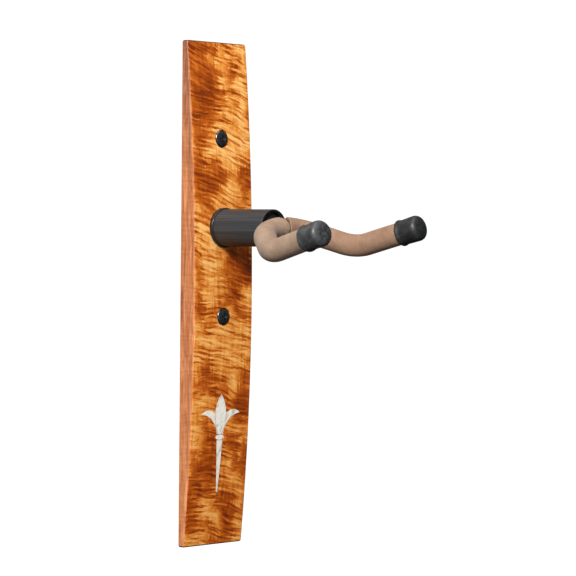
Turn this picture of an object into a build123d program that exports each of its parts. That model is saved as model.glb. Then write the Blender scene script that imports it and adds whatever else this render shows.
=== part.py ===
from build123d import *
from math import asin, cos, degrees, radians, sin, sqrt
import os

# Wall guitar hanger: a crowned hardwood back plate with an inlay, a spacer tube standing on it, and
# a padded steel yoke that swivels in the tube. Millimetres. The origin is where the swivel axis
# meets the wall; +Z is up, +Y goes into the wall, and the yoke reaches out along -Y.

# ---------------------------------------------------------------- back plate
PLATE_WIDTH = 50.8
PLATE_HEIGHT = 306.2
PLATE_TOP = 112.8               # from the swivel axis up to the top edge
PLATE_EDGE_THICKNESS = 4.0      # at the top and bottom ends
PLATE_CROWN_THICKNESS = 11.7    # half way up, where the front is fullest
PLATE_CORNER_RADIUS = 1.5
PLATE_ARRIS_RADIUS = 1.2
PLATE_BOTTOM = PLATE_TOP - PLATE_HEIGHT
PLATE_MIDDLE = (PLATE_TOP + PLATE_BOTTOM) / 2

SEAT_Y = -10.6                  # flat spot faced on the crown, under the base collar
COUNTERBORE_RADIUS = 12.7       # rear recess for the lock nut
COUNTERBORE_DEPTH = 6.6
STEM_HOLE_RADIUS = 6.4

# ---------------------------------------------------------------- wall screws, number 12 pan head
SCREW_SPACING = 107.95          # 4 1/4 inches, centred on the swivel axis
SCREW_LENGTH = 31.75
SCREW_HEAD_RADIUS = 5.4
SCREW_HEAD_HEIGHT = 2.6
SCREW_HEAD_DOME_RADIUS = 16.0   # of the low dome on top
SCREW_HEAD_SHOULDER = 1.8       # rounding between the dome and the rim
SCREW_NECK_RADIUS = 2.45
SCREW_NECK_LENGTH = 7.1
SCREW_SHANK_RADIUS = 2.75
SCREW_SHANK_LENGTH = 6.6
SCREW_THREAD_RADIUS = 2.55
SCREW_ROOT_RADIUS = 1.85
SCREW_THREAD_TURNS = 7
SCREW_THREAD_ROOT = 0.6         # one turn along the screw: root flat, flank, crest, flank
SCREW_THREAD_FLANK = 0.65
SCREW_THREAD_CREST = 0.2
RECESS_WIDTH = 1.25             # Phillips recess: two crossing slots, shorter at the bottom
RECESS_SPAN = 5.2
RECESS_BOTTOM_SPAN = 2.4
RECESS_DEPTH = 1.9
HEAD_SINK = 1.4                 # from the crown down to the underside of a head
HEAD_HOLE_RADIUS = 5.5
SCREW_HOLE_RADIUS = 2.9
RELIEF_RADIUS = 4.2             # clears the smooth shank at the back of the plate
RELIEF_DEPTH = 3.6

# ---------------------------------------------------------------- inlay
INLAY_DEPTH = 1.2
INLAY_TOP = -101.0
INLAY_BOTTOM = -161.2
LEAF_HALF_WIDTH = 4.5
LEAF_WIDEST = -111.6
LEAF_FOOT = -125.5
LEAF_FOOT_HALF_WIDTH = 1.3
PETAL_TIP = (16.6, -113.0)
PETAL_SHOULDER = (3.8, -114.0)
PETAL_TOP_ARCH = (10.4, -110.7)
PETAL_UNDER_HOLLOW = (7.0, -117.0)
PETAL_FOOT_HALF_WIDTH = 2.7
HAIRLINE = 0.3                  # glue line between neighbouring pieces
BEAD_HALF_WIDTH = 3.6
BEAD_HEIGHT = 3.2
SPIKE_HALF_WIDTH = 2.5
SPIKE_TIP_HALF_WIDTH = 0.55

# ---------------------------------------------------------------- tube, collar and bushes
COLLAR_RADIUS = 12.15
COLLAR_HEIGHT = 2.8
COLLAR_LIP = 1.2                # the ledge that the tube stands on
COLLAR_ROUNDING = 0.75
TUBE_RADIUS = 11.25
TUBE_BORE_RADIUS = 8.0
TUBE_FRONT_Y = -53.0
TUBE_RIM_ROUNDING = 0.5
MOUTH_RADIUS = 9.6
MOUTH_DEPTH = 4.2
SLIP = 0.05                     # radial clearance of the pieces that are pressed or turn together

BUSH_FLANGE_RADIUS = 9.3
BUSH_FLANGE = 1.6
BUSH_LENGTH = 12.0
REAR_BUSH_LENGTH = 13.4
RUNNING_CLEARANCE = 0.06        # between the stem and its bushes

# ---------------------------------------------------------------- yoke
REST_SWIVEL = 2.46              # degrees that the yoke hangs off level, right arm up
STEM_RADIUS = 4.76
STEM_END_Y = -0.6
THREAD_LENGTH = 7.4
THREAD_PITCH = 1.0
THREAD_DEPTH = 0.3
STEM_COLLAR_RADIUS = 7.0
STEM_COLLAR = (-53.0, -51.4)    # rear of the boss, bearing face
BOSS_RADIUS = 5.0
BOSS_TAPER_Y = -58.4            # from here forward the boss narrows, between the pads' ends
BOSS_FRONT_Y = -61.0            # it ends in a saddle that the rod is welded into
BOSS_NOSE_RADIUS = 3.4

ROD_RADIUS = 3.97               # 5/16 inch steel
PAD_RADIUS = 6.8
PAD_BORE_RADIUS = 4.0
PAD_START = 3.6                 # from the swivel axis to a pad's inner end, on the rod's centre line
PAD_MITRE = 27.0                # degrees; the two pads reach closer together at the front
HUB = (0.0, -60.0, 0.2)         # corners of the rod's centre line in the yoke's own frame, right
INNER_BEND = (17.7, -60.5, -1.9)        # arm; the left arm mirrors it
OUTER_BEND = (37.1, -85.2, -12.8)
TIP = (42.3, -125.5, -2.0)
HUB_RADIUS = 40.0
INNER_BEND_RADIUS = 24.1
OUTER_BEND_RADIUS = 20.7
ROD_PAST_TIP = 4.0

CAP_MOUTH = -8.6                # along the arm, measured from the tip
CAP_LIP_RADIUS = 8.05
CAP_LIP_LENGTH = 0.7
CAP_WAIST = -5.6                # from here the cap flares out to its lip
CAP_WAIST_RADIUS = 7.45
CAP_SHOULDER = 3.6
CAP_RADIUS = 7.75
CAP_CORNER_RADIUS = 2.7
CAP_DOME_SLOPE = 14.0           # degrees, where the rounded corner runs into the low dome
CAP_PAD_BORE_RADIUS = 6.85
CAP_ROD_BORE_RADIUS = 4.05

# ---------------------------------------------------------------- rear hardware
WASHER_RADIUS = 11.0
WASHER_BORE_RADIUS = 5.1
BACKING_WASHER = 1.2
SPRING_WASHER_RADIUS = 8.6
SPRING_WASHER_STOCK = 0.45
SPRING_WASHER_HEIGHT = 0.8
THRUST_WASHER_RADIUS = 8.4
FACE_GAP = 0.05                 # left between faces that turn on one another
NUT_ACROSS_FLATS = 14.3
NUT_FRONT_Y = -4.55
NUT_BACK_Y = -0.8
NUT_RING_RADIUS = 6.1
NUT_RING_DEPTH = 1.3
NUT_CHAMFER = 0.5

# ---------------------------------------------------------------- derived values
crown_rise = PLATE_CROWN_THICKNESS - PLATE_EDGE_THICKNESS
crown_radius = ((PLATE_HEIGHT / 2) ** 2 + crown_rise**2) / (2 * crown_rise)
screw_heights = {"upper": SCREW_SPACING / 2, "lower": -SCREW_SPACING / 2}
stem_bore_radius = STEM_RADIUS + RUNNING_CLEARANCE
screw_thread_pitch = SCREW_THREAD_ROOT + 2 * SCREW_THREAD_FLANK + SCREW_THREAD_CREST
washer_face_y = -COUNTERBORE_DEPTH + BACKING_WASHER
bush_face_y = TUBE_FRONT_Y + MOUTH_DEPTH - BUSH_FLANGE
swivel_axis = Axis((0, 0, 0), (0, 1, 0))
yoke_frame = Plane(
    origin=(0, 0, 0),
    x_dir=(cos(radians(REST_SWIVEL)), 0, sin(radians(REST_SWIVEL))),
    z_dir=(-sin(radians(REST_SWIVEL)), 0, cos(radians(REST_SWIVEL))),
)


def crown_y(height):
    """The y of the plate's front face at a height."""
    centre_y = crown_radius - PLATE_CROWN_THICKNESS
    return centre_y - sqrt(crown_radius**2 - (height - PLATE_MIDDLE) ** 2)


def facing_front(y):
    """A sketch plane at that y. Its x is +X, its y is +Z, and it extrudes towards the front."""
    return Plane.XZ.offset(-y)


def ring(outer_radius, inner_radius, rear_y, front_y):
    """A plain ring on the swivel axis."""
    with BuildPart() as made:
        with BuildSketch(facing_front(rear_y)):
            Circle(outer_radius)
            Circle(inner_radius, mode=Mode.SUBTRACT)
        extrude(amount=rear_y - front_y)
    return made.part


os.makedirs("parts", exist_ok=True)


def keep(piece, name):
    """Labels a finished piece and writes it."""
    piece.label = name
    export_step(piece, f"parts/{name}.step")


# ---------------------------------------------------------------- inlay pieces
# A layer just under the crown: each piece is its outline cut from this layer, so its face is flush.
with BuildPart() as inlay_layer:
    with BuildSketch(Plane.YZ.offset(-PLATE_WIDTH / 2)):
        with BuildLine():
            ThreePointArc(
                (-PLATE_EDGE_THICKNESS, PLATE_TOP),
                (-PLATE_CROWN_THICKNESS, PLATE_MIDDLE),
                (-PLATE_EDGE_THICKNESS, PLATE_BOTTOM),
            )
            Line(
                (-PLATE_EDGE_THICKNESS, PLATE_BOTTOM),
                (-PLATE_EDGE_THICKNESS + INLAY_DEPTH, PLATE_BOTTOM),
            )
            ThreePointArc(
                (-PLATE_EDGE_THICKNESS + INLAY_DEPTH, PLATE_BOTTOM),
                (-PLATE_CROWN_THICKNESS + INLAY_DEPTH, PLATE_MIDDLE),
                (-PLATE_EDGE_THICKNESS + INLAY_DEPTH, PLATE_TOP),
            )
            Line(
                (-PLATE_EDGE_THICKNESS + INLAY_DEPTH, PLATE_TOP),
                (-PLATE_EDGE_THICKNESS, PLATE_TOP),
            )
        make_face()
    extrude(amount=PLATE_WIDTH)

bead_top = LEAF_FOOT - HAIRLINE
bead_bottom = bead_top - BEAD_HEIGHT
spike_top = bead_bottom - HAIRLINE

with BuildSketch() as leaf_outline:
    with BuildLine():
        ThreePointArc((0, INLAY_TOP), (LEAF_HALF_WIDTH, LEAF_WIDEST), (LEAF_FOOT_HALF_WIDTH, LEAF_FOOT))
        Line((LEAF_FOOT_HALF_WIDTH, LEAF_FOOT), (0, LEAF_FOOT))
        mirror(about=Plane.YZ)
    make_face()

with BuildSketch() as leaf_clearance:
    offset(leaf_outline.sketch, amount=HAIRLINE)

with BuildSketch() as right_petal_outline:
    with BuildLine():
        Line((LEAF_FOOT_HALF_WIDTH, LEAF_FOOT), (PETAL_FOOT_HALF_WIDTH, LEAF_FOOT))
        ThreePointArc((PETAL_FOOT_HALF_WIDTH, LEAF_FOOT), PETAL_UNDER_HOLLOW, PETAL_TIP)
        ThreePointArc(PETAL_TIP, PETAL_TOP_ARCH, PETAL_SHOULDER)
        Line(PETAL_SHOULDER, (LEAF_FOOT_HALF_WIDTH, LEAF_FOOT))
    make_face()
    add(leaf_clearance.sketch, mode=Mode.SUBTRACT)

with BuildSketch() as left_petal_outline:
    mirror(right_petal_outline.sketch, about=Plane.YZ)

with BuildSketch() as bead_outline:
    with Locations((0, (bead_top + bead_bottom) / 2)):
        Ellipse(BEAD_HALF_WIDTH, BEAD_HEIGHT / 2)

with BuildSketch() as spike_outline:
    with BuildLine():
        Polyline(
            (-SPIKE_HALF_WIDTH, spike_top),
            (SPIKE_HALF_WIDTH, spike_top),
            (SPIKE_TIP_HALF_WIDTH, INLAY_BOTTOM),
            (-SPIKE_TIP_HALF_WIDTH, INLAY_BOTTOM),
            (-SPIKE_HALF_WIDTH, spike_top),
        )
    make_face()


def inlay_piece(outline):
    """One inlay piece, cut from the layer under the crown."""
    with BuildPart() as made:
        with BuildSketch(Plane.XZ):
            add(outline.sketch)
        extrude(amount=PLATE_CROWN_THICKNESS)
        add(inlay_layer.part, mode=Mode.INTERSECT)
    return made.part


inlay_outlines = {
    "inlay_centre_petal": leaf_outline,
    "inlay_left_petal": left_petal_outline,
    "inlay_right_petal": right_petal_outline,
    "inlay_bead": bead_outline,
    "inlay_spike": spike_outline,
}
inlay_pieces = {name: inlay_piece(outline) for name, outline in inlay_outlines.items()}
for name, piece in inlay_pieces.items():
    keep(piece, name)

# ---------------------------------------------------------------- back plate
with BuildPart() as back_plate:
    with BuildSketch(Plane.YZ.offset(-PLATE_WIDTH / 2)):
        with BuildLine():
            ThreePointArc(
                (-PLATE_EDGE_THICKNESS, PLATE_TOP),
                (-PLATE_CROWN_THICKNESS, PLATE_MIDDLE),
                (-PLATE_EDGE_THICKNESS, PLATE_BOTTOM),
            )
            Polyline(
                (-PLATE_EDGE_THICKNESS, PLATE_BOTTOM),
                (0, PLATE_BOTTOM),
                (0, PLATE_TOP),
                (-PLATE_EDGE_THICKNESS, PLATE_TOP),
            )
        make_face()
    extrude(amount=PLATE_WIDTH)
    fillet(back_plate.edges().filter_by(Axis.Y), PLATE_CORNER_RADIUS)
    crown_face = back_plate.faces().sort_by(Axis.Y)[0]
    fillet(crown_face.edges(), PLATE_ARRIS_RADIUS)
    # flat seat for the base collar
    with BuildSketch(facing_front(SEAT_Y)):
        Circle(COLLAR_RADIUS + SLIP)
    extrude(amount=PLATE_CROWN_THICKNESS, mode=Mode.SUBTRACT)
    # hole for the stem and the rear bush, and the nut's recess behind it
    with BuildSketch(Plane.XZ):
        Circle(STEM_HOLE_RADIUS)
    extrude(amount=PLATE_CROWN_THICKNESS, mode=Mode.SUBTRACT)
    with BuildSketch(Plane.XZ):
        Circle(COUNTERBORE_RADIUS)
    extrude(amount=COUNTERBORE_DEPTH, mode=Mode.SUBTRACT)
    # screw holes, with the splinter relief behind each
    with BuildSketch(Plane.XZ):
        with Locations(*[(0, height) for height in screw_heights.values()]):
            Circle(SCREW_HOLE_RADIUS)
    extrude(amount=PLATE_CROWN_THICKNESS, mode=Mode.SUBTRACT)
    with BuildSketch(Plane.XZ):
        with Locations(*[(0, height) for height in screw_heights.values()]):
            Circle(RELIEF_RADIUS)
    extrude(amount=RELIEF_DEPTH, mode=Mode.SUBTRACT)
    for height in screw_heights.values():
        with BuildSketch(facing_front(crown_y(height) + HEAD_SINK)):
            with Locations((0, height)):
                Circle(HEAD_HOLE_RADIUS)
        extrude(amount=PLATE_CROWN_THICKNESS, mode=Mode.SUBTRACT)
    for piece in inlay_pieces.values():
        add(piece, mode=Mode.SUBTRACT)
keep(back_plate.part, "back_plate")


# ---------------------------------------------------------------- wall screws
def wall_screw(height):
    """A pan-head wood screw, its head sunk in the crown at a height and its point in the wall."""
    under_head_y = crown_y(height) + HEAD_SINK
    neck_end = SCREW_NECK_LENGTH
    shank_end = neck_end + SCREW_SHANK_LENGTH
    thread_end = shank_end + screw_thread_pitch * SCREW_THREAD_TURNS
    dome_turn = degrees(
        asin(
            (SCREW_HEAD_RADIUS - SCREW_HEAD_SHOULDER)
            / (SCREW_HEAD_DOME_RADIUS - SCREW_HEAD_SHOULDER)
        )
    )
    with BuildPart() as made:
        # half section: x is the radius, y runs from the head's underside towards the point
        with BuildSketch(Plane(origin=(0, under_head_y, height))):
            with BuildLine():
                dome = JernArc(
                    (0, -SCREW_HEAD_HEIGHT), (1, 0), SCREW_HEAD_DOME_RADIUS, dome_turn
                )
                shoulder = JernArc(dome @ 1, dome % 1, SCREW_HEAD_SHOULDER, 90 - dome_turn)
                Polyline(
                    shoulder @ 1,
                    (SCREW_HEAD_RADIUS, 0),
                    (SCREW_NECK_RADIUS, 0),
                    (SCREW_NECK_RADIUS, neck_end),
                    (SCREW_SHANK_RADIUS, neck_end),
                    (SCREW_SHANK_RADIUS, shank_end),
                    (SCREW_ROOT_RADIUS, shank_end),
                )
                for turn in range(SCREW_THREAD_TURNS):
                    rise = shank_end + turn * screw_thread_pitch + SCREW_THREAD_ROOT
                    crest = rise + SCREW_THREAD_FLANK
                    fall = crest + SCREW_THREAD_CREST
                    Polyline(
                        (SCREW_ROOT_RADIUS, rise - SCREW_THREAD_ROOT),
                        (SCREW_ROOT_RADIUS, rise),
                        (SCREW_THREAD_RADIUS, crest),
                        (SCREW_THREAD_RADIUS, fall),
                        (SCREW_ROOT_RADIUS, fall + SCREW_THREAD_FLANK),
                    )
                Polyline(
                    (SCREW_ROOT_RADIUS, thread_end),
                    (0, SCREW_LENGTH),
                    (0, -SCREW_HEAD_HEIGHT),
                )
            make_face()
        revolve(axis=Axis((0, under_head_y, height), (0, 1, 0)))
        # the recess: x runs along a slot, y into the head
        crown = (0, under_head_y - SCREW_HEAD_HEIGHT, height)
        for slot in (Plane(crown), Plane(crown, x_dir=(0, 0, 1), z_dir=(-1, 0, 0))):
            with BuildSketch(slot):
                Polygon(
                    (-RECESS_SPAN / 2, 0),
                    (RECESS_SPAN / 2, 0),
                    (RECESS_BOTTOM_SPAN / 2, RECESS_DEPTH),
                    (-RECESS_BOTTOM_SPAN / 2, RECESS_DEPTH),
                    align=None,
                )
            extrude(amount=RECESS_WIDTH / 2, both=True, mode=Mode.SUBTRACT)
    return made.part


for place, height in screw_heights.items():
    keep(wall_screw(height), f"{place}_wall_screw")

# ---------------------------------------------------------------- base collar
collar_front_y = SEAT_Y - COLLAR_HEIGHT
tube_rear_y = SEAT_Y - COLLAR_LIP
with BuildPart() as base_collar:
    with BuildSketch(facing_front(SEAT_Y)):
        Circle(COLLAR_RADIUS)
    extrude(amount=COLLAR_HEIGHT)
    with BuildSketch(facing_front(tube_rear_y)):
        Circle(TUBE_RADIUS + SLIP)
    extrude(amount=COLLAR_HEIGHT, mode=Mode.SUBTRACT)
    with BuildSketch(facing_front(SEAT_Y)):
        Circle(TUBE_BORE_RADIUS)
    extrude(amount=COLLAR_HEIGHT, mode=Mode.SUBTRACT)
    collar_rim = base_collar.faces().sort_by(Axis.Y)[0].edges().sort_by(SortBy.LENGTH)[-1]
    fillet(collar_rim, COLLAR_ROUNDING)
keep(base_collar.part, "base_collar")

# ---------------------------------------------------------------- spacer tube
with BuildPart() as spacer_tube:
    with BuildSketch(facing_front(tube_rear_y)):
        Circle(TUBE_RADIUS)
        Circle(TUBE_BORE_RADIUS, mode=Mode.SUBTRACT)
    extrude(amount=tube_rear_y - TUBE_FRONT_Y)
    with BuildSketch(facing_front(TUBE_FRONT_Y + MOUTH_DEPTH)):
        Circle(MOUTH_RADIUS)
    extrude(amount=MOUTH_DEPTH, mode=Mode.SUBTRACT)
    fillet(spacer_tube.faces().sort_by(Axis.Y)[0].edges(), TUBE_RIM_ROUNDING)
keep(spacer_tube.part, "spacer_tube")

# ---------------------------------------------------------------- bushes
with BuildPart() as front_bush:
    with BuildSketch(facing_front(bush_face_y + BUSH_FLANGE + BUSH_LENGTH)):
        Circle(TUBE_BORE_RADIUS - SLIP)
    extrude(amount=BUSH_LENGTH)
    with BuildSketch(facing_front(bush_face_y + BUSH_FLANGE)):
        Circle(BUSH_FLANGE_RADIUS)
    extrude(amount=BUSH_FLANGE)
    with BuildSketch(facing_front(bush_face_y + BUSH_FLANGE + BUSH_LENGTH)):
        Circle(stem_bore_radius)
    extrude(amount=BUSH_LENGTH + BUSH_FLANGE, mode=Mode.SUBTRACT)
keep(front_bush.part, "front_bush")

with BuildPart() as rear_bush:
    with BuildSketch(facing_front(SEAT_Y)):
        Circle(TUBE_BORE_RADIUS - SLIP)
    extrude(amount=REAR_BUSH_LENGTH)
    with BuildSketch(facing_front(-COUNTERBORE_DEPTH)):
        Circle(STEM_HOLE_RADIUS - SLIP)
    extrude(amount=-SEAT_Y - COUNTERBORE_DEPTH)
    with BuildSketch(facing_front(-COUNTERBORE_DEPTH)):
        Circle(stem_bore_radius)
    extrude(amount=-SEAT_Y - COUNTERBORE_DEPTH + REAR_BUSH_LENGTH, mode=Mode.SUBTRACT)
keep(rear_bush.part, "rear_bush")

# ---------------------------------------------------------------- washers
keep(
    ring(THRUST_WASHER_RADIUS, stem_bore_radius, bush_face_y, STEM_COLLAR[1] + FACE_GAP),
    "thrust_washer",
)
keep(
    ring(WASHER_RADIUS, WASHER_BORE_RADIUS, washer_face_y, -COUNTERBORE_DEPTH),
    "backing_washer",
)

# a shallow cone: its outer edge rests on the backing washer and its inner edge meets the nut
with BuildPart() as spring_washer:
    with BuildSketch(Plane.XY):
        with BuildLine():
            Polyline(
                (SPRING_WASHER_RADIUS, washer_face_y),
                (SPRING_WASHER_RADIUS, washer_face_y + SPRING_WASHER_STOCK),
                (WASHER_BORE_RADIUS, washer_face_y + SPRING_WASHER_HEIGHT),
                (WASHER_BORE_RADIUS, washer_face_y + SPRING_WASHER_HEIGHT - SPRING_WASHER_STOCK),
                (SPRING_WASHER_RADIUS, washer_face_y),
            )
        make_face()
    revolve(axis=swivel_axis)
keep(spring_washer.part, "spring_washer")

# ---------------------------------------------------------------- yoke rod
arm_direction = (Vector(*TIP) - Vector(*OUTER_BEND)).normalized()
rod_end = tuple(Vector(*TIP) + arm_direction * ROD_PAST_TIP)


def left_of(point):
    """The same point on the left arm."""
    return (-point[0], point[1], point[2])


with BuildLine(yoke_frame) as rod_line:
    FilletPolyline(
        left_of(rod_end),
        left_of(OUTER_BEND),
        left_of(INNER_BEND),
        HUB,
        INNER_BEND,
        OUTER_BEND,
        rod_end,
        radius=(
            OUTER_BEND_RADIUS,
            INNER_BEND_RADIUS,
            HUB_RADIUS,
            INNER_BEND_RADIUS,
            OUTER_BEND_RADIUS,
        ),
    )

with BuildPart() as yoke_rod:
    with BuildSketch(Plane(origin=rod_line.wire() @ 0, z_dir=rod_line.wire() % 0)):
        Circle(ROD_RADIUS)
    sweep(path=rod_line.wire())
keep(yoke_rod.part, "yoke_rod")


# ---------------------------------------------------------------- pads
def in_yoke_frame(point):
    """A point of the yoke's own frame, in the frame of the whole hanger."""
    return yoke_frame.from_local_coords(Vector(*point))


def arm_pad(corners):
    """A pad on one arm. It follows the rod from the hub to the arm's tip, mitred at its inner end."""
    side = 1 if corners[-1][0] > 0 else -1
    mitre_normal = (side * cos(radians(PAD_MITRE)), -sin(radians(PAD_MITRE)), 0)
    mitre = Plane(
        origin=in_yoke_frame((side * PAD_START, HUB[1], HUB[2])),
        z_dir=in_yoke_frame(mitre_normal),
    )
    with BuildLine(yoke_frame) as line:
        FilletPolyline(*corners, radius=(INNER_BEND_RADIUS, OUTER_BEND_RADIUS))
    with BuildPart() as made:
        with BuildSketch(Plane(origin=line.wire() @ 0, z_dir=line.wire() % 0)):
            Circle(PAD_RADIUS)
            Circle(PAD_BORE_RADIUS, mode=Mode.SUBTRACT)
        sweep(path=line.wire())
        split(bisect_by=mitre, keep=Keep.TOP)
    return made.part


right_corners = [HUB, INNER_BEND, OUTER_BEND, TIP]
left_corners = [left_of(corner) for corner in right_corners]
keep(arm_pad(left_corners), "left_pad")
keep(arm_pad(right_corners), "right_pad")


# ---------------------------------------------------------------- end caps
def end_cap(tip, direction):
    """A vinyl cap pulled over the end of an arm. Its open mouth faces back along the arm."""
    origin = in_yoke_frame(tip)
    axis = in_yoke_frame(direction)
    across = axis.cross(Vector(0, 0, 1)).normalized()
    corner_centre = (CAP_RADIUS - CAP_CORNER_RADIUS, CAP_SHOULDER)
    slope = radians(CAP_DOME_SLOPE)
    dome_edge = corner_centre[0] + CAP_CORNER_RADIUS * sin(slope)
    dome_start = corner_centre[1] + CAP_CORNER_RADIUS * cos(slope)
    dome_radius = dome_edge / sin(slope)
    crown = dome_start + dome_radius * (1 - cos(slope))
    with BuildPart() as made:
        # half section: x is the radius, y runs outwards along the arm from its tip
        with BuildSketch(Plane(origin=origin, x_dir=across, z_dir=across.cross(axis))):
            with BuildLine():
                Polyline(
                    (0, crown),
                    (0, ROD_PAST_TIP + FACE_GAP),
                    (CAP_ROD_BORE_RADIUS, ROD_PAST_TIP + FACE_GAP),
                    (CAP_ROD_BORE_RADIUS, FACE_GAP),
                    (CAP_PAD_BORE_RADIUS, FACE_GAP),
                    (CAP_PAD_BORE_RADIUS, CAP_MOUTH),
                    (CAP_LIP_RADIUS, CAP_MOUTH),
                    (CAP_LIP_RADIUS, CAP_MOUTH + CAP_LIP_LENGTH),
                    (CAP_WAIST_RADIUS, CAP_WAIST),
                    (CAP_RADIUS, CAP_SHOULDER),
                )
                ThreePointArc(
                    (CAP_RADIUS, CAP_SHOULDER),
                    (
                        corner_centre[0] + CAP_CORNER_RADIUS * sin(radians(45) + slope / 2),
                        corner_centre[1] + CAP_CORNER_RADIUS * cos(radians(45) + slope / 2),
                    ),
                    (dome_edge, dome_start),
                )
                ThreePointArc(
                    (dome_edge, dome_start),
                    (dome_radius * sin(slope / 2), crown - dome_radius * (1 - cos(slope / 2))),
                    (0, crown),
                )
            make_face()
        revolve(axis=Axis(origin, axis))
    return made.part


keep(end_cap(left_of(TIP), left_of(tuple(arm_direction))), "left_end_cap")
keep(end_cap(TIP, tuple(arm_direction)), "right_end_cap")

# ---------------------------------------------------------------- yoke stem
thread_start_y = STEM_END_Y - THREAD_LENGTH
thread_turns = int(THREAD_LENGTH / THREAD_PITCH)
with BuildPart() as yoke_stem:
    # half section, from the boss at the front to the threaded end in the plate
    with BuildSketch(Plane.XY):
        with BuildLine():
            Polyline(
                (0, BOSS_FRONT_Y),
                (BOSS_NOSE_RADIUS, BOSS_FRONT_Y),
                (BOSS_RADIUS, BOSS_TAPER_Y),
                (BOSS_RADIUS, STEM_COLLAR[0]),
                (STEM_COLLAR_RADIUS, STEM_COLLAR[0]),
                (STEM_COLLAR_RADIUS, STEM_COLLAR[1]),
                (STEM_RADIUS, STEM_COLLAR[1]),
                (STEM_RADIUS, thread_start_y),
            )
            for turn in range(thread_turns):
                start = thread_start_y + turn * THREAD_PITCH
                Polyline(
                    (STEM_RADIUS, start),
                    (STEM_RADIUS - THREAD_DEPTH, start + THREAD_PITCH / 2),
                    (STEM_RADIUS, start + THREAD_PITCH),
                )
            Polyline(
                (STEM_RADIUS, thread_start_y + thread_turns * THREAD_PITCH),
                (STEM_RADIUS - THREAD_DEPTH, STEM_END_Y),
                (0, STEM_END_Y),
                (0, BOSS_FRONT_Y),
            )
        make_face()
    revolve(axis=swivel_axis)
    add(yoke_rod.part, mode=Mode.SUBTRACT)
keep(yoke_stem.part, "yoke_stem")

# ---------------------------------------------------------------- lock nut and its nylon ring
with BuildPart() as lock_nut:
    with BuildSketch(facing_front(NUT_BACK_Y)):
        RegularPolygon(NUT_ACROSS_FLATS / 2, 6, major_radius=False)
    extrude(amount=NUT_BACK_Y - NUT_FRONT_Y)
    corner_edges = lock_nut.edges().filter_by(Axis.Y, reverse=True)
    chamfer(corner_edges, NUT_CHAMFER)
    with BuildSketch(facing_front(NUT_BACK_Y)):
        Circle(stem_bore_radius)
    extrude(amount=NUT_BACK_Y - NUT_FRONT_Y, mode=Mode.SUBTRACT)
    with BuildSketch(facing_front(NUT_BACK_Y)):
        Circle(NUT_RING_RADIUS)
    extrude(amount=NUT_RING_DEPTH, mode=Mode.SUBTRACT)
keep(lock_nut.part, "lock_nut")

keep(
    ring(NUT_RING_RADIUS, stem_bore_radius, NUT_BACK_Y, NUT_BACK_Y - NUT_RING_DEPTH),
    "nut_nylon_ring",
)
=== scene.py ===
from math import cos, pi, radians, sin, tan

import bmesh
import bpy
from mathutils import Matrix, Vector, noise


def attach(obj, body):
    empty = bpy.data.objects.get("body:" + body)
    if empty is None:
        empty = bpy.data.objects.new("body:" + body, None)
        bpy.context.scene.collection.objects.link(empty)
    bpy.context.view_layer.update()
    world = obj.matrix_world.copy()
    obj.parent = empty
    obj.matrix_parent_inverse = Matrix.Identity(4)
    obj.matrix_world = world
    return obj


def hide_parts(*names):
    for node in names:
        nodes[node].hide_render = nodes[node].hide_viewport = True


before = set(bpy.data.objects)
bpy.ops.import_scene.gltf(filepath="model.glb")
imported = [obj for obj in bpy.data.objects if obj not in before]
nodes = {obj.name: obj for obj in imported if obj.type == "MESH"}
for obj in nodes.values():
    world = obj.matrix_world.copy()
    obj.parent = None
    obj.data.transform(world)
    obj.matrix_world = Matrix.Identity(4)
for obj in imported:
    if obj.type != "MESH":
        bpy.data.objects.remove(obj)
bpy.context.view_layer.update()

# ---------------------------------------------------------------- camera
AZIMUTH, ELEVATION, ROLL = radians(-47.1112), radians(1.1999), radians(0.5318)
DISTANCE = 1.57711              # to the plane through the row's origin
OFFSET_RIGHT, OFFSET_UP = 0.04718, -0.03681     # of the camera from the row's origin
LENS, SENSOR = 161.58, 36.0


def make_camera():
    back = Vector((sin(AZIMUTH) * cos(ELEVATION), -cos(AZIMUTH) * cos(ELEVATION), sin(ELEVATION)))
    level = (-back).cross(Vector((0, 0, 1))).normalized()
    upright = level.cross(-back)
    right = level * cos(ROLL) + upright * sin(ROLL)
    up = upright * cos(ROLL) - level * sin(ROLL)
    data = bpy.data.cameras.new("camera")
    data.lens, data.sensor_width = LENS, SENSOR
    data.clip_start, data.clip_end = 0.05, 60
    camera = bpy.data.objects.new("camera", data)
    place = right * OFFSET_RIGHT + up * OFFSET_UP + back * DISTANCE
    camera.matrix_world = Matrix(
        (
            (right.x, up.x, back.x, place.x),
            (right.y, up.y, back.y, place.y),
            (right.z, up.z, back.z, place.z),
            (0, 0, 0, 1),
        )
    )
    bpy.context.scene.collection.objects.link(camera)
    bpy.context.scene.camera = camera


make_camera()


# ---------------------------------------------------------------- light, floor and background
def softbox(name, place, aim, width, height, power, tint=(1, 1, 1)):
    data = bpy.data.lights.new(name, "AREA")
    data.shape = "RECTANGLE"
    data.size, data.size_y = width, height
    data.energy = power
    data.color = tint
    lamp = bpy.data.objects.new(name, data)
    lamp.location = place
    lamp.rotation_mode = "QUATERNION"
    lamp.rotation_quaternion = (Vector(aim) - Vector(place)).to_track_quat("-Z", "Y")
    bpy.context.scene.collection.objects.link(lamp)


softbox("key", (-1.22, -0.82, 0.80), (0, -0.03, -0.02), 0.4, 0.4, 38, (1.0, 0.985, 0.955))
softbox("low_front", (-0.75, -1.60, -0.30), (0, 0, -0.12), 0.8, 1.0, 1.4)
softbox("top", (-0.10, -0.30, 1.5), (0, -0.06, 0), 0.7, 0.7, 8)
softbox("edge_strip", (-1.70, -0.30, 0.0), (0, 0, -0.04), 0.12, 1.6, 3)
softbox("right", (1.50, 1.10, 0.30), (0, 0, -0.04), 0.8, 0.8, 2)
softbox("behind", (0.25, 1.70, 0.40), (0, 0, -0.04), 1.0, 1.0, 8)


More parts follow.
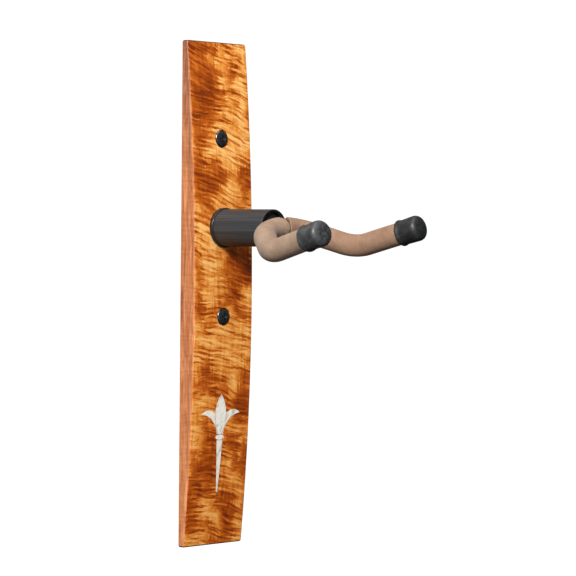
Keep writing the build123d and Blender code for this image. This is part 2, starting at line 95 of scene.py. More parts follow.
def make_world():
    world = bpy.data.worlds.new("studio")
    bpy.context.scene.world = world
    world.use_nodes = True
    tree = world.node_tree
    tree.nodes.clear()
    seen = tree.nodes.new("ShaderNodeBackground")
    seen.inputs["Color"].default_value = (1, 1, 1, 1)
    seen.inputs["Strength"].default_value = 1.05
    # what lights the object: a soft dome, brightest at the upper left of the wall's front
    lit = tree.nodes.new("ShaderNodeBackground")
    lit.inputs["Color"].default_value = (0.97, 0.985, 1, 1)
    way = tree.nodes.new("ShaderNodeTexCoord")
    toward = tree.nodes.new("ShaderNodeVectorMath")
    toward.operation = "DOT_PRODUCT"
    toward.inputs[1].default_value = (-0.55, -0.35, 0.76)
    dome = tree.nodes.new("ShaderNodeMapRange")
    for label, value in (("From Min", -0.6), ("From Max", 0.9), ("To Min", 0.02), ("To Max", 0.36)):
        dome.inputs[label].default_value = value
    tree.links.new(way.outputs["Generated"], toward.inputs[0])
    tree.links.new(toward.outputs["Value"], dome.inputs["Value"])
    tree.links.new(dome.outputs[0], lit.inputs["Strength"])
    path = tree.nodes.new("ShaderNodeLightPath")
    mix = tree.nodes.new("ShaderNodeMixShader")
    out = tree.nodes.new("ShaderNodeOutputWorld")
    tree.links.new(path.outputs["Is Camera Ray"], mix.inputs[0])
    tree.links.new(lit.outputs[0], mix.inputs[1])
    tree.links.new(seen.outputs[0], mix.inputs[2])
    tree.links.new(mix.outputs[0], out.inputs["Surface"])
    bpy.context.scene.view_settings.view_transform = "Standard"


make_world()


# ---------------------------------------------------------------- material building blocks
class Finish:
    """A material with a Principled shader, and short calls for the nodes that drive it."""

    def __init__(self, name, **settings):
        self.material = bpy.data.materials.new(name)
        self.material.use_nodes = True
        self.tree = self.material.node_tree
        self.shader = self.tree.nodes["Principled BSDF"]
        for label, value in settings.items():
            self.shader.inputs[label.replace("_", " ")].default_value = value
        coords = self.tree.nodes.new("ShaderNodeTexCoord")
        self.place = coords.outputs["Object"]
        self.facing = coords.outputs["Normal"]

    def node(self, kind, inputs=(), **properties):
        made = self.tree.nodes.new(kind)
        for label, value in properties.items():
            setattr(made, label, value)
        for key, value in dict(inputs).items():
            if isinstance(value, bpy.types.NodeSocket):
                self.tree.links.new(value, made.inputs[key])
            else:
                made.inputs[key].default_value = value
        return made

    def turned(self, vector, angles):
        return self.node("ShaderNodeMapping", {"Vector": vector, "Rotation": angles}).outputs[0]

    def scaled(self, vector, scale):
        return self.node("ShaderNodeMapping", {"Vector": vector, "Scale": scale}).outputs[0]

    def moved(self, vector, by):
        return self.node("ShaderNodeMapping", {"Vector": vector, "Location": by}).outputs[0]

    def noise(self, vector, scale=1.0, detail=2.0, roughness=0.5, distortion=0.0, colour=False):
        made = self.node(
            "ShaderNodeTexNoise",
            {
                "Vector": vector,
                "Scale": scale,
                "Detail": detail,
                "Roughness": roughness,
                "Distortion": distortion,
            },
        )
        return made.outputs["Color" if colour else "Fac"]

    def math(self, operation, a, b=0.0):
        return self.node("ShaderNodeMath", {0: a, 1: b}, operation=operation).outputs[0]

    def vector_math(self, operation, a, b):
        return self.node("ShaderNodeVectorMath", {0: a, 1: b}, operation=operation).outputs[0]

    def weigh(self, *pairs):
        """The sum of each value times its weight."""
        total = None
        for value, weight in pairs:
            part = self.math("MULTIPLY", value, weight)
            total = part if total is None else self.math("ADD", total, part)
        return total

    def measure(self, operation, vector, other=(0, 0, 0)):
        """The one number that a vector operation such as LENGTH or DISTANCE gives."""
        made = self.node("ShaderNodeVectorMath", {0: vector, 1: other}, operation=operation)
        return made.outputs["Value"]

    def wave(self, scale, reach):
        """A smooth offset, up to half of reach to either side."""
        drift = self.noise(self.place, scale=scale, detail=1.0, colour=True)
        return self.vector_math("MULTIPLY", self.vector_math("SUBTRACT", drift, (0.5, 0.5, 0.5)), reach)

    def joined(self, x=0.0, y=0.0, z=0.0):
        return self.node("ShaderNodeCombineXYZ", {"X": x, "Y": y, "Z": z}).outputs[0]

    def axis(self, vector, index):
        return self.node("ShaderNodeSeparateXYZ", {0: vector}).outputs[index]

    def between(self, value, low, high, to_low=0.0, to_high=1.0):
        made = self.node(
            "ShaderNodeMapRange",
            {
                "Value": value,
                "From Min": low,
                "From Max": high,
                "To Min": to_low,
                "To Max": to_high,
            },
            interpolation_type="SMOOTHSTEP",
        )
        return made.outputs[0]

    def ramp(self, value, *stops):
        made = self.node("ShaderNodeValToRGB", {0: value})
        elements = made.color_ramp.elements
        while len(elements) < len(stops):
            elements.new(0.5)
        for element, (position, colour) in zip(elements, stops):
            element.position = position
            element.color = (*colour, 1)
        return made.outputs[0]

    def blend(self, share, a, b, mode="MIX"):
        made = self.node("ShaderNodeMix", {0: share, 6: a, 7: b}, data_type="RGBA", blend_type=mode)
        return made.outputs[2]

    def bump(self, height, distance, strength=1.0, under=None):
        inputs = {"Height": height, "Distance": distance, "Strength": strength}
        if under is not None:
            inputs["Normal"] = under
        return self.node("ShaderNodeBump", inputs).outputs[0]

    def drive(self, **sockets):
        for label, socket in sockets.items():
            self.tree.links.new(socket, self.shader.inputs[label.replace("_", " ")])

    def put_on(self, *names):
        for name in names:
            thing = nodes[name] if isinstance(name, str) else name
            thing.data.materials.clear()
            thing.data.materials.append(self.material)


# ---------------------------------------------------------------- figured wood
GOLD = (0.97, 0.555, 0.185)
AMBER = (0.80, 0.30, 0.046)
HONEY = (0.57, 0.135, 0.011)
RUST = (0.355, 0.060, 0.001)
UMBER = (0.19, 0.027, 0.0003)
FOOT_TINT = (1.0, 0.875, 0.71, 1)               # the foot of the board is a shade redder
UPPER_SIDE_TINT = (0.57, 0.60, 0.74, 1)         # and its sides darken toward the top
ROW_PITCH = 0.0032              # of the curl's flecks
ROW_DRIFT = 9.0                 # radians by which their rows wander
SHADE = 0.032                   # by which the whole front is darkened
# broad dark and light clouds in the figure, one of them painted shadow of the tube: x, z, radius in
# metres, and depth (light is negative)
CLOUDS = (
    (-0.020, 0.094, 0.036, 0.30),
    (-0.012, 0.070, 0.026, 0.22),
    (0.016, 0.098, 0.026, -0.10),
    (-0.004, 0.055, 0.018, -0.16),
    (0.006, 0.040, 0.016, -0.16),
    (-0.012, 0.028, 0.024, 0.30),
    (0.016, 0.028, 0.014, 0.10),
    (0.004, 0.021, 0.016, -0.14),
    (-0.014, 0.004, 0.024, -0.04),
    # painted shadow: the tube's cast shadow, below and to the right of it
    (0.016, -0.021, 0.020, 0.34),
    (-0.014, -0.036, 0.018, 0.06),
    (0.008, -0.040, 0.014, 0.14),
    (-0.014, -0.056, 0.018, 0.12),
    (0.008, -0.068, 0.026, -0.12),
    (-0.008, -0.094, 0.018, 0.08),
    (0.017, -0.106, 0.022, 0.24),
    (-0.018, -0.144, 0.028, 0.18),
    (0.014, -0.142, 0.020, 0.14),
    (-0.012, -0.172, 0.022, 0.20),
    (0.010, -0.180, 0.022, 0.10),
)


def wood_curl(wood, slanted):
    """Thin flecks that cross the grain in rows, running a little down to the right."""
    drift = wood.noise(wood.scaled(slanted, (42, 20, 95)), detail=1.0)
    rows = wood.weigh((wood.axis(slanted, 2), 2 * pi / ROW_PITCH), (drift, ROW_DRIFT))
    flecks = wood.noise(wood.scaled(slanted, (75, 45, 650)), detail=2.5, roughness=0.55)
    return wood.weigh((flecks, 1.0), (wood.math("SINE", rows), 0.06))


def wood_heart(wood, waved, curl, fibre):
    """Low where the heartwood is dark. Its patches have edges torn by the flecks and the fibres."""
    torn = wood.joined(
        x=wood.between(curl, 0.3, 0.7, -0.0025, 0.0025), z=wood.between(fibre, 0.3, 0.7, -0.002, 0.002)
    )
    torn = wood.vector_math("MULTIPLY", wood.vector_math("ADD", waved, torn), (1, 0, 1))
    heart = wood.noise(wood.scaled(torn, (62, 40, 48)), detail=2.5, roughness=0.55)
    for x, z, radius, depth in CLOUDS:
        away = wood.measure("DISTANCE", torn, (x, 0, z))
        heart = wood.math("SUBTRACT", heart, wood.between(away, 0.0, radius, depth, 0.0))
    return heart


def wood_front(wood, waved, slanted, curl, fibre, pores):
    """Colour of the crowned front."""
    heart = wood_heart(wood, waved, curl, fibre)
    patch = wood.between(heart, 0.34, 0.50, 1.0, 0.0)
    band = wood.noise(wood.scaled(wood.moved(slanted, (0.3, 0, 0.2)), (40, 20, 170)), detail=2)
    # the dark flecks crowd together in places
    crowd = wood.noise(wood.moved(waved, (0.1, 0.4, 0)), scale=46, detail=1.5)
    dark_fleck = wood.math(
        "MULTIPLY", wood.between(curl, 0.40, 0.455, 1.0, 0.0), wood.between(crowd, 0.32, 0.58, 0.3, 1.0)
    )
    light_fleck = wood.between(curl, 0.54, 0.62)
    # hairlines between the flecks
    hair = wood.noise(wood.scaled(wood.moved(slanted, (0.7, 0, 0.5)), (70, 40, 520)), detail=1.5)
    hair = wood.math("ABSOLUTE", wood.math("SUBTRACT", hair, 0.5))
    hair = wood.between(hair, 0.0, 0.030, 1.0, 0.0)
    tone = wood.weigh(
        (heart, 0.50),
        (patch, -0.19),
        (band, 0.46),
        (fibre, 0.32),
        (pores, 0.14),
        (hair, -0.14),
        (dark_fleck, -0.25),
        (light_fleck, 0.12),
    )
    tone = wood.math("SUBTRACT", tone, SHADE)
    colour = wood.ramp(
        tone, (0.13, UMBER), (0.34, RUST), (0.52, HONEY), (0.68, AMBER), (0.86, GOLD)
    )
    foot = wood.between(wood.axis(wood.place, 2), -0.19, 0.05, 1.0, 0.0)
    return wood.blend(foot, colour, FOOT_TINT, mode="MULTIPLY")


def wood_side(wood, waved, curl):
    """Colour of the long sides, the same board edge on: paler, with faint wavy streaks."""
    streak = wood.noise(wood.scaled(waved, (60, 420, 45)), detail=4, roughness=0.6, distortion=1.2)
    colour = wood.ramp(
        wood.weigh((streak, 0.8), (curl, 0.2)),
        (0.34, (0.30, 0.090, 0.032)),
        (0.50, (0.48, 0.172, 0.068)),
        (0.66, (0.68, 0.280, 0.120)),
    )
    upper = wood.between(wood.axis(wood.place, 2), 0.0, 0.10, 0.0, 0.85)
    return wood.blend(upper, colour, UPPER_SIDE_TINT, mode="MULTIPLY")


def wood_end(wood):
    """Colour of the end grain, which is also painted shade where it darkens the rounded bottom arris.
    """
    grain = wood.noise(wood.scaled(wood.place, (900, 500, 900)), detail=3)
    return wood.ramp(grain, (0.3, (0.035, 0.011, 0.004)), (0.7, (0.11, 0.036, 0.013)))


def figured_wood():
    wood = Finish("figured_wood", IOR=1.33, Coat_Roughness=0.2, Coat_IOR=1.4)
    # slow and quick waves that the whole figure follows
    waved = wood.vector_math("ADD", wood.place, wood.wave(19, (0.010, 0, 0.014)))
    waved = wood.vector_math("ADD", waved, wood.wave(130, (0.003, 0, 0.0018)))
    # the figure leans down to the right, most toward the top
    lean = wood.between(wood.axis(wood.place, 2), -0.16, 0.09, 0.14, 0.28)
    drop = wood.math("MULTIPLY", lean, wood.axis(waved, 0))
    slanted = wood.vector_math("ADD", waved, wood.joined(z=drop))
    curl = wood_curl(wood, slanted)
    # fibres and pores along the plate
    fibre = wood.noise(wood.scaled(waved, (520, 520, 24)), detail=2.5, roughness=0.6)
    pores = wood.noise(wood.scaled(wood.place, (2400, 2400, 160)), detail=2)
    front = wood_front(wood, waved, slanted, curl, fibre, pores)
    across = wood.math("ABSOLUTE", wood.axis(wood.facing, 0))
    upward = wood.math("ABSOLUTE", wood.axis(wood.facing, 2))
    colour = wood.blend(wood.between(across, 0.35, 0.75), front, wood_side(wood, waved, curl))
    # the dark end grain reaches onto the rounded arrises toward the ends: real end grain, and on the
    # bottom arris partly painted shade
    colour = wood.blend(wood.between(upward, 0.30, 0.60), colour, wood_end(wood))
    # the lacquer has gathered on the rounded arrises
    gathered = wood.math(
        "MULTIPLY", wood.between(across, 0.15, 0.35), wood.between(across, 0.85, 0.99, 1.0, 0.0)
    )
    wood.drive(
        Base_Color=colour,
        Roughness=wood.between(curl, 0.3, 0.7, 0.50, 0.40),
        Normal=wood.bump(curl, 0.0002, 0.10, under=wood.bump(pores, 0.00005, 0.3)),
        Coat_Weight=wood.between(gathered, 0.0, 1.0, 0.04, 0.9),
    )
    return wood


figured_wood().put_on("back_plate")


# ---------------------------------------------------------------- pearl
def pearl():
    shell = Finish("pearl", Coat_Weight=0.6, Coat_Roughness=0.12, IOR=1.55, Sheen_Weight=0.15)
    laid = shell.turned(shell.place, (0, radians(-38), 0))
    layers = shell.noise(shell.scaled(laid, (420, 200, 90)), detail=3, distortion=1.4)
    flecks = shell.noise(shell.scaled(shell.place, (300, 300, 160)), detail=2, distortion=0.8)
    colour = shell.ramp(
        shell.weigh((layers, 0.7), (flecks, 0.3)),
        (0.31, (0.34, 0.33, 0.28)),
        (0.41, (0.68, 0.67, 0.59)),
        (0.49, (0.97, 0.94, 0.86)),
        (0.70, (1.0, 0.985, 0.93)),
    )
    grip = shell.between(flecks, 0.3, 0.7, 0.36, 0.2)
    shell.drive(Base_Color=colour, Roughness=grip, Normal=shell.bump(layers, 0.0001, 0.15))
    return shell


pearl().put_on(
    "inlay_centre_petal", "inlay_left_petal", "inlay_right_petal", "inlay_bead", "inlay_spike"
)


# ---------------------------------------------------------------- screws, tube, collar, hardware
def black_screw():
    paint = Finish("black_screw", Coat_Weight=1.0, Coat_Roughness=0.22, Coat_IOR=1.6)
    speckle = paint.noise(paint.place, scale=2600, detail=2)
    rubbed = paint.noise(paint.place, scale=500, detail=3)
    colour = paint.ramp(rubbed, (0.35, (0.004, 0.004, 0.004)), (0.75, (0.014, 0.014, 0.014)))
    paint.drive(
        Base_Color=colour,
        Roughness=paint.between(rubbed, 0.3, 0.7, 0.22, 0.36),
        Normal=paint.bump(speckle, 0.00004, 0.3),
    )
    return paint


black_screw().put_on("upper_wall_screw", "lower_wall_screw")


def tube_black():
    tube = Finish("tube_black", Specular_IOR_Level=0.28, Coat_Weight=0.05, Coat_Roughness=0.35)
    drawn = tube.noise(tube.scaled(tube.place, (2300, 16, 2300)), detail=3, roughness=0.6)
    broad = tube.noise(tube.scaled(tube.place, (420, 6, 420)), detail=2)
    wall = tube.ramp(
        tube.weigh((drawn, 0.65), (broad, 0.35)),
        (0.34, (0.019, 0.022, 0.025)),
        (0.52, (0.034, 0.037, 0.041)),
        (0.70, (0.060, 0.064, 0.068)),
    )
    face = tube.math("ABSOLUTE", tube.axis(tube.facing, 1))
    colour = tube.blend(tube.between(face, 0.5, 0.9), wall, (0.005, 0.005, 0.005, 1))
    tube.drive(
        Base_Color=colour,
        Roughness=tube.between(drawn, 0.3, 0.7, 0.48, 0.62),
        Normal=tube.bump(drawn, 0.00008, 0.35),
    )
    return tube


tube_black().put_on("spacer_tube")


PLASTIC_PATCH = 14              # width of a patch of even tone, in grains of the surface


def moulded(name, dark, light, low, high, size):
    """A moulded or turned plastic: close in tone, with size grains in a metre."""
    plastic = Finish(name, IOR=1.48)
    grain = plastic.noise(plastic.place, scale=size, detail=3, roughness=0.6)
    tone = plastic.noise(plastic.place, scale=size / PLASTIC_PATCH, detail=2)
    plastic.drive(
        Base_Color=plastic.ramp(plastic.weigh((tone, 0.6), (grain, 0.4)), (0.35, dark), (0.65, light)),
        Roughness=plastic.between(tone, 0.3, 0.7, low, high),
        Normal=plastic.bump(grain, 0.00006, 0.4),
    )
    return plastic


moulded("collar_black", (0.006, 0.006, 0.007), (0.018, 0.018, 0.019), 0.30, 0.42, 2400).put_on(
    "base_collar"
)
moulded("acetal_black", (0.002, 0.002, 0.002), (0.005, 0.005, 0.005), 0.16, 0.26, 1800).put_on(
    "front_bush", "rear_bush", "thrust_washer"
)
moulded("nylon", (0.62, 0.61, 0.56), (0.76, 0.75, 0.70), 0.4, 0.5, 1600).put_on("nut_nylon_ring")


TURNED_LINES = 5200             # in a metre of radius


def steel(name, dark, light, metallic, low, high, coat=0.0):
    """Plated or coated steel, with turned lines round the swivel axis and fine handling marks."""
    metal = Finish(name, Metallic=metallic, Coat_Weight=coat, Coat_Roughness=0.25)
    radial = metal.measure("LENGTH", metal.scaled(metal.place, (1, 0, 1)))
    lines = metal.node(
        "ShaderNodeTexNoise",
        {"W": metal.math("MULTIPLY", radial, TURNED_LINES), "Scale": 1.0, "Detail": 2.0},
        noise_dimensions="1D",
    ).outputs["Fac"]
    marks = metal.noise(metal.place, scale=700, detail=3, distortion=0.5)
    metal.drive(
        Base_Color=metal.ramp(metal.weigh((marks, 0.65), (lines, 0.35)), (0.35, dark), (0.68, light)),
        Roughness=metal.between(marks, 0.3, 0.7, low, high),
        Normal=metal.bump(lines, 0.00005, 0.25),
    )
    return metal


steel("zinc_steel", (0.42, 0.43, 0.45), (0.66, 0.67, 0.68), 0.95, 0.26, 0.42).put_on(
    "backing_washer", "spring_washer", "lock_nut"
)
steel("black_steel", (0.010, 0.010, 0.010), (0.034, 0.034, 0.035), 0.4, 0.34, 0.48, 0.2).put_on(
    "yoke_stem", "yoke_rod"
)


# ---------------------------------------------------------------- the arms' centre line
MM = 0.001
SWIVEL = radians(2.46)          # the yoke's rest position, right arm up
# corners of the right arm's centre line with the yoke level, and the radii of its bends, in mm
HUB = (0.0, -60.0, 0.2)
INNER_BEND = (17.7, -60.5, -1.9)
OUTER_BEND = (37.1, -85.2, -12.8)
TIP = (42.3, -125.5, -2.0)
BENDS = (24.1, 20.7)


def arm_corners(side):
    """The corners of one arm's centre line in the row frame, in metres. side is 1 right, -1 left."""
    out = []
    for x, y, z in (HUB, INNER_BEND, OUTER_BEND, TIP):
        x *= side
        out.append(
            Vector((x * cos(SWIVEL) - z * sin(SWIVEL), y, x * sin(SWIVEL) + z * cos(SWIVEL))) * MM
        )
    return out


class Line:
    """A polyline with rounded corners, which gives its point, direction and bend at a length."""

    def __init__(self, corners, radii):
        self.parts = []
        start = corners[0]
        for before, corner, after, radius in zip(corners, corners[1:], corners[2:], radii):
            into, out = (corner - before).normalized(), (after - corner).normalized()
            angle = into.angle(out)
            cut = radius * MM * tan(angle / 2)
            self.parts.append(("run", start, corner - into * cut))
            centre_way = (out - into).normalized()
            centre = corner + centre_way * (radius * MM / cos(angle / 2))
            self.parts.append(("arc", corner - into * cut, into, centre, angle))
            start = corner + out * cut
        self.parts.append(("run", start, corners[-1]))
        self.lengths = [
            (p[2] - p[1]).length if p[0] == "run" else p[4] * (p[1] - p[3]).length
            for p in self.parts
        ]
        self.length = sum(self.lengths)

    def at(self, s):
        """(point, direction, way to the bend's centre or None)"""
        for part, length in zip(self.parts, self.lengths):
            if s <= length or part is self.parts[-1]:
                break
            s -= length
        if part[0] == "run":
            way = (part[2] - part[1]).normalized()
            return part[1] + way * s, way, None
        _, start, way, centre, _ = part
        arm = start - centre
        turn = s / arm.length
        point = centre + arm * cos(turn) + way * arm.length * sin(turn)
        return point, way * cos(turn) - arm.normalized() * sin(turn), (centre - point).normalized()


def loop_mesh(name, loops, wrap, caps=()):
    """A mesh skinned over closed loops of equal length.

    wrap joins the last loop to the first. Each of caps, a loop's index and a point, closes that
    loop with a fan round the point.
    """
    count = len(loops[0])
    points = [p for loop in loops for p in loop]
    faces = []
    pairs = list(zip(range(len(loops)), range(1, len(loops))))
    if wrap:
        pairs.append((len(loops) - 1, 0))
    for a, b in pairs:
        for i in range(count):
            j = (i + 1) % count
            faces.append((a * count + i, a * count + j, b * count + j, b * count + i))
    for loop_index, centre in caps:
        points.append(centre)
        middle = len(points) - 1
        first = loop_index * count
        for i in range(count):
            j = (i + 1) % count
            face = (first + i, first + j, middle)
            faces.append(face if loop_index else face[::-1])
    mesh = bpy.data.meshes.new(name)
    mesh.from_pydata([tuple(p) for p in points], [], faces)
    mesh.validate()
    for face in mesh.polygons:
        face.use_smooth = True
    thing = bpy.data.objects.new(name, mesh)
    bpy.context.scene.collection.objects.link(thing)
    return thing


def outward(thing):
    """Turns a closed mesh's faces to point out."""
    made = bmesh.new()
    made.from_mesh(thing.data)
    bmesh.ops.recalc_face_normals(made, faces=made.faces)
    made.to_mesh(thing.data)
    made.free()


# ---------------------------------------------------------------- pads
PAD_RADIUS, PAD_BORE = 6.8 * MM, 4.0 * MM
PAD_START, PAD_MITRE = 3.6 * MM, radians(27)
PAD_EDGE = 0.8 * MM             # rounding of the inner end
EDGE_STEPS = 6
PAD_TIP_ROUND = 0.1 * MM
PAD_SIDES = 64
PAD_STEP = 0.8 * MM
BORE_STEP = 3 * MM
BORE_CLEAR = 2 * MM             # no ring of the bore comes closer to the inner end
MITRE_FADE = 14 * MM            # over which the loops turn from the mitre to square
FOLD_LENGTH, FOLD_DEPTH = 3.4 * MM, 0.10 * MM
SWELL = 0.16 * MM               # the tubing's slow unevenness, mostly inwards
SWELL_DETAIL = 55               # waves in a metre
SWELL_FADE = 4 * MM             # from the inner end


def pad_loops(side):
    corners = arm_corners(side)
    line = Line(corners, BENDS)
    tilt = (cos(PAD_MITRE) * side, -sin(PAD_MITRE))
    normal = Vector((tilt[0] * cos(SWIVEL), tilt[1], tilt[0] * sin(SWIVEL)))
    start_point = Vector(
        (PAD_START * side * cos(SWIVEL), HUB[1] * MM, PAD_START * side * sin(SWIVEL) + HUB[2] * MM)
    )
    first_way = line.at(0)[1]
    mean_start = normal.dot(start_point - corners[0]) / normal.dot(first_way)

    def frame_at(s):
        point, way, inward = line.at(s)
        flat = way.cross(Vector((0, 0, 1))).normalized()
        return point, flat, flat.cross(way), inward

    _, first_flat, first_rise, _ = frame_at(mean_start)

    def loop(s, radius, uneven):
        fade = max(0.0, 1 - (s - mean_start) / MITRE_FADE)
        points = []
        for i in range(PAD_SIDES):
            angle = 2 * pi * i / PAD_SIDES
            spoke = first_flat * cos(angle) + first_rise * sin(angle)
            cut = normal.dot(start_point - corners[0] - spoke * radius) / normal.dot(first_way)
            here = s + fade * (cut - mean_start)
            point, flat, rise, inward = frame_at(here)
            spoke = flat * cos(angle) + rise * sin(angle)
            reach = radius
            if uneven:
                swell = noise.noise((point + spoke * radius) * SWELL_DETAIL) * 0.5 - 0.25
                reach += SWELL * swell * min(1, (s - mean_start) / SWELL_FADE)
                if inward is not None:
                    inside = max(0.0, spoke.dot(inward))
                    reach -= FOLD_DEPTH * inside**3 * (1 + cos(2 * pi * here / FOLD_LENGTH)) / 2
            points.append(point + spoke * reach)
        return points

    # outside, from the rounded inner edge to the tip, then back along the bore
    loops = []
    for step in range(EDGE_STEPS, -1, -1):
        turn = step / EDGE_STEPS * pi / 2
        edge = PAD_RADIUS - PAD_EDGE * (1 - cos(turn))
        loops.append(loop(mean_start + PAD_EDGE * (1 - sin(turn)), edge, False))
    s = mean_start + PAD_EDGE + PAD_STEP
    while s < line.length - PAD_STEP:
        loops.append(loop(s, PAD_RADIUS, True))
        s += PAD_STEP
    loops.append(loop(line.length, PAD_RADIUS - PAD_TIP_ROUND, False))
    loops.append(loop(line.length, PAD_BORE, False))
    s = line.length - BORE_STEP
    while s > mean_start + BORE_CLEAR:
        loops.append(loop(s, PAD_BORE, False))
        s -= BORE_STEP
    loops.append(loop(mean_start, PAD_BORE, False))
    return loops


def pad_tan():
    foam = Finish("pad_tan", Sheen_Weight=0.08, Sheen_Roughness=0.5, IOR=1.4)
    cells = foam.noise(foam.place, scale=2600, detail=3, roughness=0.65)
    skin = foam.noise(foam.place, scale=420, detail=3, distortion=0.4)
    cloudy = foam.noise(foam.place, scale=70, detail=2)
    colour = foam.ramp(
        foam.weigh((cloudy, 0.5), (skin, 0.3), (cells, 0.2)),
        (0.36, (0.235, 0.150, 0.098)),
        (0.50, (0.305, 0.205, 0.142)),
        (0.64, (0.375, 0.262, 0.190)),
    )
    # painted shade: the right pad, farther from the key light, is painted a shade browner
    right = foam.between(foam.axis(foam.place, 0), -0.002, 0.002)
    colour = foam.blend(right, colour, (0.88, 0.77, 0.70, 1), mode="MULTIPLY")
    foam.drive(
        Base_Color=colour,
        Roughness=foam.between(skin, 0.3, 0.7, 0.72, 0.86),
        Normal=foam.bump(cells, 0.00012, 0.35, under=foam.bump(skin, 0.0002, 0.15)),
    )
    return foam


foam = pad_tan()
for side, node in ((-1, "left_pad"), (1, "right_pad")):
    pad = loop_mesh(f"{node}_foam", pad_loops(side), wrap=True)
    outward(pad)
    foam.put_on(pad)
    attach(pad, "yoke")
    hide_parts(node)


# ---------------------------------------------------------------- end caps
# sizes along an arm are measured from its tip, outwards
CAP_RADIUS = 7.73 * MM
CAP_CROWN = 6.92 * MM
CAP_END = 2.2 * MM              # from here outwards the cap rounds over to its crown
CAP_SQUARENESS = 0.71           # of the rounded end; 1 would be an ellipse
CAP_WAIST, CAP_WAIST_RADIUS = -5.6 * MM, 7.46 * MM
LIP_ROUND = 0.56 * MM           # the lip is rolled
LIP_CENTRE, LIP_RADIUS = -8.03 * MM, 7.44 * MM
PAD_SOCKET, ROD_SOCKET = (0.05 * MM, 6.85 * MM), (4.05 * MM, 4.05 * MM)     # depth, radius
SOCKET_ROUND = 0.15 * MM
END_TURNS, BODY_RINGS, FLARE_RINGS, LIP_TURNS = 16, 6, 6, 10
CAP_SIDES = 72
CAP_WANDER = 0.05 * MM          # dipped vinyl is never quite round
WANDER_DETAIL = 130             # waves in a metre
CAP_FACING = (0, -0.962, 0.262)         # the way both caps' domes face, near enough


def cap_section():
    """Half section from the crown round the outside to the end of the rod's socket."""
    section = []
    for step in range(1, END_TURNS + 1):
        turn = step / END_TURNS * pi / 2
        rise = (CAP_CROWN - CAP_END) * cos(turn) ** CAP_SQUARENESS
        section.append((CAP_END + rise, CAP_RADIUS * sin(turn) ** CAP_SQUARENESS))
    for step in range(1, BODY_RINGS + 1):
        share = step / BODY_RINGS
        along = CAP_END + (CAP_WAIST - CAP_END) * share
        section.append((along, CAP_RADIUS + (CAP_WAIST_RADIUS - CAP_RADIUS) * share))
    for step in range(1, FLARE_RINGS + 1):
        share = step / FLARE_RINGS
        ease = share * share * (3 - 2 * share)
        radius = CAP_WAIST_RADIUS + (LIP_RADIUS + LIP_ROUND - CAP_WAIST_RADIUS) * ease
        section.append((CAP_WAIST + (LIP_CENTRE - CAP_WAIST) * share, radius))
    for step in range(1, LIP_TURNS + 1):
        turn = step / LIP_TURNS * pi
        section.append((LIP_CENTRE - LIP_ROUND * sin(turn), LIP_RADIUS + LIP_ROUND * cos(turn)))
    # each socket's wall, its rounded corner and its floor
    for depth, radius in (PAD_SOCKET, ROD_SOCKET):
        section.append((depth - SOCKET_ROUND, radius))
        section.append((depth, radius - SOCKET_ROUND))
        section.append((depth, ROD_SOCKET[1] if radius > ROD_SOCKET[1] else radius / 2))
    return section


def cap_loops(side):
    corners = arm_corners(side)
    way = (corners[3] - corners[2]).normalized()
    flat = way.cross(Vector((0, 0, 1))).normalized()
    rise = flat.cross(way)
    loops = []
    for along, radius in cap_section():
        loop = []
        for i in range(CAP_SIDES):
            angle = 2 * pi * i / CAP_SIDES
            spoke = flat * cos(angle) + rise * sin(angle)
            spot = corners[3] + way * along + spoke * radius
            outside = radius > PAD_SOCKET[1]
            wander = (noise.noise(spot * WANDER_DETAIL) - 0.5) * CAP_WANDER if outside else 0
            loop.append(spot + spoke * wander)
        loops.append(loop)
    crown = corners[3] + way * CAP_CROWN
    bottom = corners[3] + way * ROD_SOCKET[0]
    return loops, ((0, crown), (len(loops) - 1, bottom))


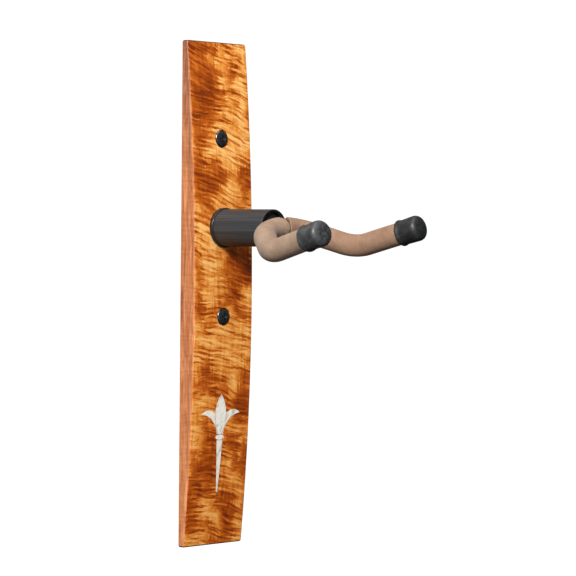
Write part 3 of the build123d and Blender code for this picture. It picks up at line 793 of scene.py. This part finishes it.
def cap_vinyl():
    vinyl = Finish("cap_vinyl", IOR=1.5, Coat_Weight=0.12, Coat_Roughness=0.3)
    grain = vinyl.noise(vinyl.place, scale=1500, detail=3, roughness=0.6)
    dip = vinyl.noise(vinyl.scaled(vinyl.turned(vinyl.place, (0.5, 0.3, 0)), (60, 60, 420)), detail=2)
    dust = vinyl.noise(vinyl.place, scale=240, detail=4, roughness=0.7)
    colour = vinyl.ramp(
        vinyl.weigh((dust, 0.6), (dip, 0.4)),
        (0.34, (0.020, 0.022, 0.023)),
        (0.52, (0.041, 0.044, 0.046)),
        (0.70, (0.078, 0.083, 0.086)),
    )
    # painted shade: the dome, which faces away from the light, is painted darker
    domed = vinyl.between(vinyl.measure("DOT_PRODUCT", vinyl.facing, CAP_FACING), 0.86, 0.98)
    dome_shade = vinyl.math("MULTIPLY", domed, 0.9)
    colour = vinyl.blend(dome_shade, colour, (0.30, 0.30, 0.31, 1), mode="MULTIPLY")
    # handling has scuffed the dome pale in patches
    scuffs = vinyl.noise(vinyl.place, scale=520, detail=3, roughness=0.65)
    scuffed = vinyl.math("MULTIPLY", vinyl.between(scuffs, 0.42, 0.64, 0.0, 0.8), domed)
    colour = vinyl.blend(scuffed, colour, (0.070, 0.076, 0.079, 1))
    # painted shade: the right cap, farther from the key light, is painted blacker
    right = vinyl.between(vinyl.axis(vinyl.place, 0), -0.002, 0.002)
    colour = vinyl.blend(right, colour, (0.38, 0.38, 0.38, 1), mode="MULTIPLY")
    vinyl.drive(
        Base_Color=colour,
        Roughness=vinyl.between(dust, 0.3, 0.7, 0.42, 0.58),
        Normal=vinyl.bump(grain, 0.00006, 0.4, under=vinyl.bump(dip, 0.0002, 0.12)),
    )
    return vinyl


vinyl = cap_vinyl()
for side, node in ((-1, "left_end_cap"), (1, "right_end_cap")):
    loops, ends = cap_loops(side)
    cap = loop_mesh(f"{node}_vinyl", loops, wrap=False, caps=ends)
    outward(cap)
    vinyl.put_on(cap)
    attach(cap, "yoke")
    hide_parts(node)


# ---------------------------------------------------------------- floor
def make_floor():
    sides, reach, depth = 96, 12.0, -1.5
    turns = [2 * pi * i / sides for i in range(sides)]
    rim = [Vector((reach * cos(turn), reach * sin(turn), depth)) for turn in turns]
    inner = [Vector((p.x / 2, p.y / 2, depth)) for p in rim]
    floor = loop_mesh("floor", [inner, rim], wrap=False, caps=((0, Vector((0, 0, depth))),))
    pale = Finish("floor", Roughness=0.9, Emission_Strength=0.9)
    pale.shader.inputs["Emission Color"].default_value = (1, 1, 1, 1)
    dust = pale.noise(pale.place, scale=3, detail=3)
    pale.drive(Base_Color=pale.ramp(dust, (0.3, (0.90, 0.90, 0.895)), (0.7, (0.93, 0.93, 0.925))))
    pale.put_on(floor)
    floor.visible_diffuse = floor.visible_glossy = False


make_floor()
